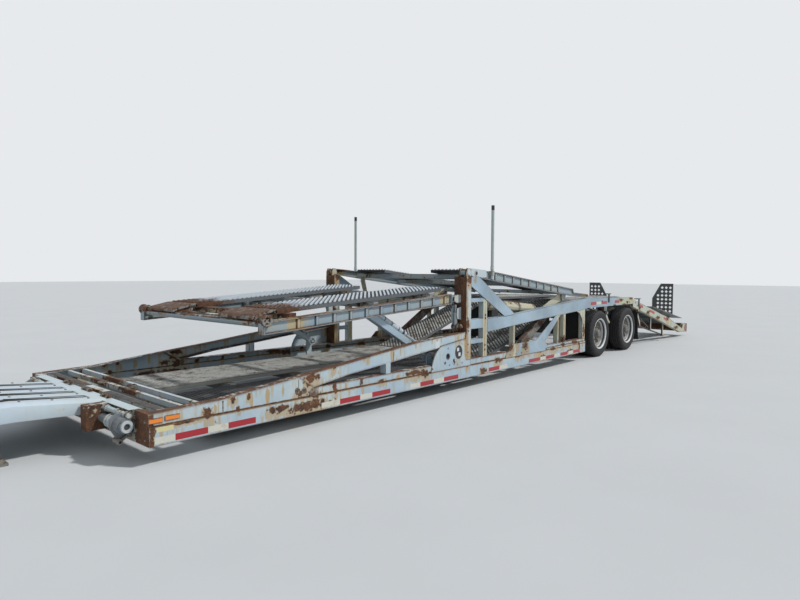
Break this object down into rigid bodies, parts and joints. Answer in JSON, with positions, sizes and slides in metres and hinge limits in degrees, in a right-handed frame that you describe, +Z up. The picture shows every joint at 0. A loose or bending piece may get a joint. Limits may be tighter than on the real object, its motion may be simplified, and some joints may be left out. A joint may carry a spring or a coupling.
{
  "type": "car transporter semi-trailer",
  "caption": "Low car transporter semi-trailer with a stinger tongue, truss sides, tandem twin wheels, hinged upper decks on lift arms and fold-down loading flaps.",
  "frame": {"origin": "on the ground under the middle of the trailer's box", "axes": "+X to the tongue at the front, +Y to the trailer's left-hand side, +Z up"},
  "size_m": [15, 2.59, 2.3],
  "materials": {
    "blue_grey_paint": "weathered satin paint",
    "pale_paint": "weathered satin paint with rust streaks",
    "dark_steel": "matte, dusty",
    "worn_steel": "worn bare tread with rust",
    "rusty_steel": "surface rust",
    "white_rim": "semi-gloss",
    "tyre": "matte",
    "amber_lens": "gloss lens",
    "red_lens": "gloss lens"
  },
  "bodies": {
    "frame": {"axles": "dark_steel", "bogie_frame": "dark_steel", "floor_crossmembers": "dark_steel", "front_crossmember": "blue_grey_paint", "landing_legs": "dark_steel", "lift_brackets": "blue_grey_paint", "lower_runways": "worn_steel", "main_posts": "pale_paint", "mud_shields": "pale_paint", "ramp_rails": "blue_grey_paint", "ramp_runways": "worn_steel", "ramp_trays": "worn_steel", "rear_beams": "blue_grey_paint", "side_lamps": "amber_lens", "side_rails": "blue_grey_paint", "springs": "dark_steel", "tail_bar": "blue_grey_paint", "tail_lamps": "red_lens", "tie_posts": "dark_steel", "tongue": "blue_grey_paint", "truss_bars": "blue_grey_paint", "upper_chords": "blue_grey_paint", "wheel_deck": "worn_steel", "winches": "rusty_steel"},
    "front_deck": {"front_deck_frame": "blue_grey_paint", "front_deck_runways": "worn_steel"},
    "rear_deck": {"rear_deck_frame": "blue_grey_paint", "rear_deck_runways": "worn_steel", "marker_poles": "blue_grey_paint", "deck_cylinders": "rusty_steel"},
    "wheel_front_left": {"tyres_front_left": "tyre", "rims_front_left": "white_rim"},
    "wheel_front_right": {"tyres_front_right": "tyre", "rims_front_right": "white_rim"},
    "wheel_rear_left": {"tyres_rear_left": "tyre", "rims_rear_left": "white_rim"},
    "wheel_rear_right": {"tyres_rear_right": "tyre", "rims_rear_right": "white_rim"},
    "front_lift_sleeve_left": {"front_lift_sleeve_left": "blue_grey_paint"},
    "front_lift_arm_left": {"front_lift_arm_left": "blue_grey_paint"},
    "rear_lift_sleeve_left": {"rear_lift_sleeve_left": "rusty_steel"},
    "rear_lift_arm_left": {"rear_lift_arm_left": "rusty_steel"},
    "flap_left": {"loading_flap_left": "worn_steel"},
    "front_lift_sleeve_right": {"front_lift_sleeve_right": "blue_grey_paint"},
    "front_lift_arm_right": {"front_lift_arm_right": "blue_grey_paint"},
    "rear_lift_sleeve_right": {"rear_lift_sleeve_right": "rusty_steel"},
    "rear_lift_arm_right": {"rear_lift_arm_right": "rusty_steel"},
    "flap_right": {"loading_flap_right": "worn_steel"}
  },
  "joints": [
    {"name": "wheel_front_left_spin", "type": "hinge", "parent": "frame", "child": "wheel_front_left", "pos_m": [-2.65, 0, 0.3985], "axis": [0, 1, 0], "continuous": true},
    {"name": "wheel_front_right_spin", "type": "hinge", "parent": "frame", "child": "wheel_front_right", "pos_m": [-2.65, 0, 0.3985], "axis": [0, 1, 0], "continuous": true},
    {"name": "wheel_rear_left_spin", "type": "hinge", "parent": "frame", "child": "wheel_rear_left", "pos_m": [-3.895, 0, 0.3985], "axis": [0, 1, 0], "continuous": true},
    {"name": "wheel_rear_right_spin", "type": "hinge", "parent": "frame", "child": "wheel_rear_right", "pos_m": [-3.895, 0, 0.3985], "axis": [0, 1, 0], "continuous": true},
    {"name": "front_deck_lift", "type": "hinge", "parent": "frame", "child": "front_deck", "pos_m": [1.405, 0, 1.118], "axis": [0, -1, 0], "range_deg": [0, 20]},
    {"name": "rear_deck_lift", "type": "hinge", "parent": "frame", "child": "rear_deck", "pos_m": [1.27, 0, 1.44], "axis": [0, 1, 0], "range_deg": [0, 12]},
    {"name": "front_sleeve_left_turn", "type": "hinge", "parent": "front_deck", "child": "front_lift_sleeve_left", "pos_m": [2.83, 1.05, 1.02], "axis": [0, -1, 0], "range_deg": [-2, 2]},
    {"name": "front_arm_left_slide", "type": "slide", "parent": "front_lift_sleeve_left", "child": "front_lift_arm_left", "axis": [-0.8748, 0, -0.4846], "range_m": [0, 0.28]},
    {"name": "rear_sleeve_left_turn", "type": "hinge", "parent": "frame", "child": "rear_lift_sleeve_left", "pos_m": [-0.25, 1.1395, 0.43], "axis": [0, 1, 0], "range_deg": [0, 20]},
    {"name": "rear_arm_left_slide", "type": "slide", "parent": "rear_lift_sleeve_left", "child": "rear_lift_arm_left", "axis": [-0.877, 0, 0.4805], "range_m": [0, 0.37]},
    {"name": "flap_left_fold", "type": "hinge", "parent": "frame", "child": "flap_left", "pos_m": [-7.35, 0.785, 0.45477], "axis": [0, -1, 0], "range_deg": [0, 118]},
    {"name": "front_sleeve_right_turn", "type": "hinge", "parent": "front_deck", "child": "front_lift_sleeve_right", "pos_m": [2.83, -1.05, 1.02], "axis": [0, -1, 0], "range_deg": [-2, 2]},
    {"name": "front_arm_right_slide", "type": "slide", "parent": "front_lift_sleeve_right", "child": "front_lift_arm_right", "axis": [-0.8748, 0, -0.4846], "range_m": [0, 0.28]},
    {"name": "rear_sleeve_right_turn", "type": "hinge", "parent": "frame", "child": "rear_lift_sleeve_right", "pos_m": [-0.25, -1.1395, 0.43], "axis": [0, 1, 0], "range_deg": [0, 20]},
    {"name": "rear_arm_right_slide", "type": "slide", "parent": "rear_lift_sleeve_right", "child": "rear_lift_arm_right", "axis": [-0.877, 0, 0.4805], "range_m": [0, 0.37]},
    {"name": "flap_right_fold", "type": "hinge", "parent": "frame", "child": "flap_right", "pos_m": [-7.35, -0.785, 0.45477], "axis": [0, -1, 0], "range_deg": [0, 118]}
  ],
  "couplings": [
    {"joint": "front_sleeve_left_turn", "follows": "front_deck_lift", "ratio": -0.07096},
    {"joint": "front_arm_left_slide", "follows": "front_deck_lift", "m_per_rad": 0.76751},
    {"joint": "rear_sleeve_left_turn", "follows": "rear_deck_lift", "ratio": 1.4031},
    {"joint": "rear_arm_left_slide", "follows": "rear_deck_lift", "m_per_rad": 1.7212},
    {"joint": "front_sleeve_right_turn", "follows": "front_deck_lift", "ratio": -0.07096},
    {"joint": "front_arm_right_slide", "follows": "front_deck_lift", "m_per_rad": 0.76751},
    {"joint": "rear_sleeve_right_turn", "follows": "rear_deck_lift", "ratio": 1.4031},
    {"joint": "rear_arm_right_slide", "follows": "rear_deck_lift", "m_per_rad": 1.7212}
  ]
}
